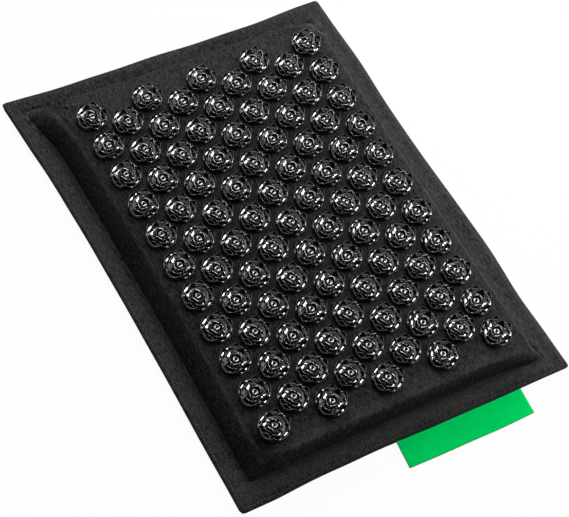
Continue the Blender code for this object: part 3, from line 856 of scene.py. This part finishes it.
# Rings of petals. Path is the middle of a petal's wall as (radius, height) in mm, fill its share of the
# circle, cup how far its sides draw in at root and tip, bow the power of that, keel how straight its halves
# are seen from above, grid its levels and points across, narrow its shoulder's place and the two powers that
# narrow it there.
petalRings = [
    dict(count=6, turn=0, fill=1.03, cup=(-1.8, 0.6), bow=2.0, keel=(0, 0), grid=(18, 7),
         narrow=(0.3, 1.0, 1.0),
         path=((9.3, 1.6), (9.7, 2.3), (10.15, 2.72), (10.85, 3.08), (11.5, 3.8), (12.0, 5.0), (12.1, 6.3),
               (11.8, 7.8))),
    dict(count=3, turn=90, fill=0.42, cup=(1.0, 1.0), bow=1.4, keel=(0, 0), grid=(11, 7),
         narrow=(0.1, 1.0, 0.8), path=((8.8, 1.8), (9.4, 2.8), (9.8, 4.0), (10.1, 5.6), (9.9, 7.3))),
    dict(count=3, turn=30, fill=0.98, cup=(1.6, 1.2), bow=1.4, keel=(1.0, 0.8), grid=(18, 9),
         narrow=(0.2, 1.0, 0.9),
         path=((5.4, 1.7), (6.5, 2.1), (7.6, 2.55), (8.6, 3.05), (9.4, 4.0), (9.9, 5.6), (9.9, 7.3))),
    dict(count=3, turn=90, fill=0.98, cup=(0.7, 0.5), bow=2.0, keel=(0, 0), grid=(12, 7),
         narrow=(0.45, 1.2, 0.8), path=((3.4, 1.7), (4.2, 2.6), (4.6, 3.6), (4.7, 4.6), (4.5, 6.0))),
    dict(count=3, turn=30, fill=0.45, cup=(0.6, 0.5), bow=1.4, keel=(0, 0), grid=(9, 5),
         narrow=(0.2, 1.0, 0.9), path=((4.0, 1.7), (4.7, 2.3), (5.2, 3.0), (5.4, 3.8), (5.2, 4.7))),
    dict(count=3, turn=90, fill=0.30, cup=(1.0, 1.0), bow=1.4, keel=(0, 0), grid=(9, 5),
         narrow=(0.1, 1.0, 0.8), path=((5.2, 1.7), (5.7, 2.3), (6.0, 3.0), (6.1, 3.8), (5.9, 4.6))),
]


def petal(ring, turn):
    # One petal as a closed grid of sections, flat bands with beaded rims: their middle follows the path from
    # root to tip, their width keeps up to the shoulder and narrows from there, and their sides draw in by a
    # power of how far they are from the middle, or in a straight line where the petal is keeled.
    levels, wide = ring["grid"]
    t = 1 - (1 - np.linspace(0, 1, levels)) ** 1.3
    curve = curveThrough(ring["path"], t) * mm
    inward, middle, t = squareTo(curve), curve[:, :1], t[:, None]
    shoulder, first, second = ring["narrow"]
    share = (1 - np.clip((t - shoulder) / (1 - shoulder), 0, 1) ** first) ** second
    wall = between(disc["wall"], t) * mm * np.sqrt(1 - np.clip((t - 0.93) / 0.075, 0, 1) ** 2)
    full = math.pi / ring["count"]
    width = np.maximum(share * ring["fill"] * full * middle, wall / 2)
    flat = np.clip(1 - wall / 2 / width, 0, 1)
    core = np.linspace(-1, 1, wide)[None]
    bead = np.radians([60, 30, 0, -30, -60])[None]
    rim = flat + (1 - flat) * np.cos(bead)
    across = np.concatenate([core * flat, rim, -core * flat, -rim[:, ::-1]], 1)
    side = np.concatenate([1 + 0 * core, np.sin(bead), -1 + 0 * core, np.sin(bead[:, ::-1])], 1)
    cup, keel = between(ring["cup"], t) * mm, between(ring["keel"], t)
    part = np.abs(across) * width / middle / full
    straight = middle - math.sin(full) / (np.sin(part * full) / (middle - cup)
                                          + np.sin((1 - part) * full) / middle)
    drawn = between((cup * part ** ring["bow"], straight), keel)
    radius = middle - drawn + inward[:, :1] * side * wall / 2
    height = curve[:, 1:] + inward[:, 1:] * side * wall / 2
    angle = turn - across * width / middle
    return np.stack([radius * np.cos(angle), radius * np.sin(angle), height], -1)


def flower():
    # a disc at the origin: the rings of petals stand in the foot plate, a turned profile with its hub
    grids = [petal(ring, math.radians(ring["turn"]) + 2 * math.pi * k / ring["count"])
             for ring in petalRings for k in range(ring["count"])]
    radius, height = np.array(disc["foot"]).T[..., None] * mm
    turn = np.linspace(0, 2 * math.pi, disc["around"], endpoint=False)
    grids.append(np.stack([radius * np.cos(turn), radius * np.sin(turn), height + 0 * turn], -1))
    faces, start = [], 0
    for grid in grids:
        rows, columns = grid.shape[:2]
        ids = np.arange(start, start + rows * columns)
        faces += gridFaces(rows, columns, start).tolist()
        faces += [ids[:columns][::-1].tolist(), ids[-columns:].tolist()]
        start += len(ids)
    return np.concatenate([grid.reshape(-1, 3) for grid in grids]), faces


flowerPoints, flowerFaces = flower()
rise = flowerPoints[:, 2] / mm
chance = np.random.default_rng(7)
foothold, (turnSpread, tiltSpread) = disc["foothold"], disc["spread"]
for column, row, x, y in discPlaces:
    heights = topHeight(x + foothold * np.array([-1, 1, 0, 0]), y + foothold * np.array([0, 0, -1, 1]))
    slopeX, slopeY = (heights[1] - heights[0]) / (2 * foothold), (heights[3] - heights[2]) / (2 * foothold)
    turn = math.pi * int(disc["turned"][column][row]) + math.radians(chance.normal(0, turnSpread))
    leanX, leanY = (chance.normal(0, tiltSpread) - slope for slope in (slopeX, slopeY))
    tilt = Vector((leanX, leanY, 1)).normalized()
    stand = Vector((0, 0, 1)).rotation_difference(tilt).to_matrix() @ Matrix.Rotation(turn, 3, "Z")
    points = flowerPoints @ np.array(stand).T + np.array((x, y, heights.mean() - disc["sunk"]))
    name = f"flower_c{column + 1}_r{row + 1:02d}"
    flowerPiece = newPiece(name, points, flowerFaces, discBlack, attribute=("rise", rise), sharp=40)
    if column % 2:
        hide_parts(f"spike_disc_c{column + 1}_r{row + 1:02d}")
    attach(flowerPiece, "root")
print(len(discPlaces), "discs of", len(flowerFaces), "faces")


stage = dict(floor=colour(0.8, 0.8, 0.8), floorSize=3, floorZ=-0.4 * mm, world=0.06, shown=1.0, ceiling=0.3)
lamps = [
    dict(name="far_softbox", azimuth=75, elevation=23.5, distance=1.3, size=(0.8, 0.55), radiance=12.5),
    dict(name="side_softbox", azimuth=-14.5, elevation=42, distance=0.64, size=(0.5, 0.22), radiance=5.6),
    # the main lamp is small enough for each disc to shade the cloth at its foot; its highlight is main_glint
    dict(name="main_softbox", azimuth=42, elevation=62, distance=1.3, size=(0.42, 0.42), radiance=6.6),
    # these three only show as highlights
    dict(name="main_glint", azimuth=45, elevation=72, distance=1.3, size=(1.1, 1.1), radiance=1.0),
    dict(name="far_glint", azimuth=82, elevation=23.5, distance=1.28, size=(1.1, 0.50), radiance=17),
    dict(name="side_glint", azimuth=-14.5, elevation=41, distance=0.83, size=(0.80, 0.40), radiance=16),
]
view = dict(
    place=(-0.6256, -0.6698, 1.3433), right=(0.86164, -0.48084, 0.16240), up=(0.33416, 0.77832, 0.53156),
    back=(-0.38199, -0.40374, 0.83131), lens=133.18,
)


def shownWhite(base):
    # 1 for the rays that should see a white background: camera, glossy and transmission
    paths = base.node("LightPath")
    seen, glossy, through = (paths.output(f"Is {kind} Ray") for kind in ("Camera", "Glossy", "Transmission"))
    return seen.calc("MAXIMUM", seen.calc("MAXIMUM", seen, glossy), through)


size, level = stage["floorSize"], stage["floorZ"]
floorPoints = [(-size, -size, level), (size, -size, level), (size, size, level), (-size, size, level)]
floorPaint, floorShader, floorBase = newMaterial("floor_paint")
plug(floorShader, {"Base Color": stage["floor"], "Roughness": 0.9})
glow = floorBase.node("Emission", None, {"Color": colour(1, 1, 1), "Strength": stage["shown"]})
plain = Link(floorBase.tree, floorShader.outputs[0])
blend = floorBase.node("MixShader", None, {0: shownWhite(floorBase) * 0.96, 1: plain, 2: glow})
plug(floorBase.tree.nodes["Material Output"], {"Surface": blend})
floor = newPiece("floor", floorPoints, [[0, 1, 2, 3]], floorPaint)

world = bpy.data.worlds.new("studio")
scene.world = world
world.use_nodes = True
worldBase = Link(world.node_tree)
# white from the horizon up to a dimmer ceiling, for the rays that see it
height = worldBase.node("SeparateXYZ", None, {0: worldBase.node("TexCoord")}, out=2)
seen = stage["shown"] - height.band(0.45, 0.75) * (stage["shown"] - stage["ceiling"])
strength = shownWhite(worldBase) * (seen - stage["world"]) + stage["world"]
plug(world.node_tree.nodes["Background"], {"Color": colour(1, 1, 1), "Strength": strength})

for lamp in lamps:
    light = bpy.data.lights.new(lamp["name"], "AREA")
    light.shape = "RECTANGLE"
    light.size, light.size_y = lamp["size"]
    light.energy = lamp["radiance"] * math.pi * lamp["size"][0] * lamp["size"][1]
    azimuth, elevation = math.radians(lamp["azimuth"]), math.radians(lamp["elevation"])
    towards = Vector((math.cos(azimuth) * math.cos(elevation), math.sin(azimuth) * math.cos(elevation),
                      math.sin(elevation)))
    facing = towards.to_track_quat("Z", "Y").to_matrix().to_4x4()
    holder = addObject(lamp["name"], light)
    holder.matrix_world = Matrix.Translation(towards * lamp["distance"]) @ facing
    holder.visible_diffuse = "glint" not in lamp["name"]
    holder.visible_glossy = lamp["name"] != "main_softbox"

camera = bpy.data.cameras.new("camera")
camera.lens = view["lens"]
camera.sensor_width = 36.0
camera.sensor_fit = "HORIZONTAL"
camera.clip_end = 20.0
turn = Matrix([view["right"], view["up"], view["back"]]).transposed().to_4x4()
scene.camera = addObject("camera", camera)
scene.camera.matrix_world = Matrix.Translation(view["place"]) @ turn
scene.view_settings.view_transform = "Standard"
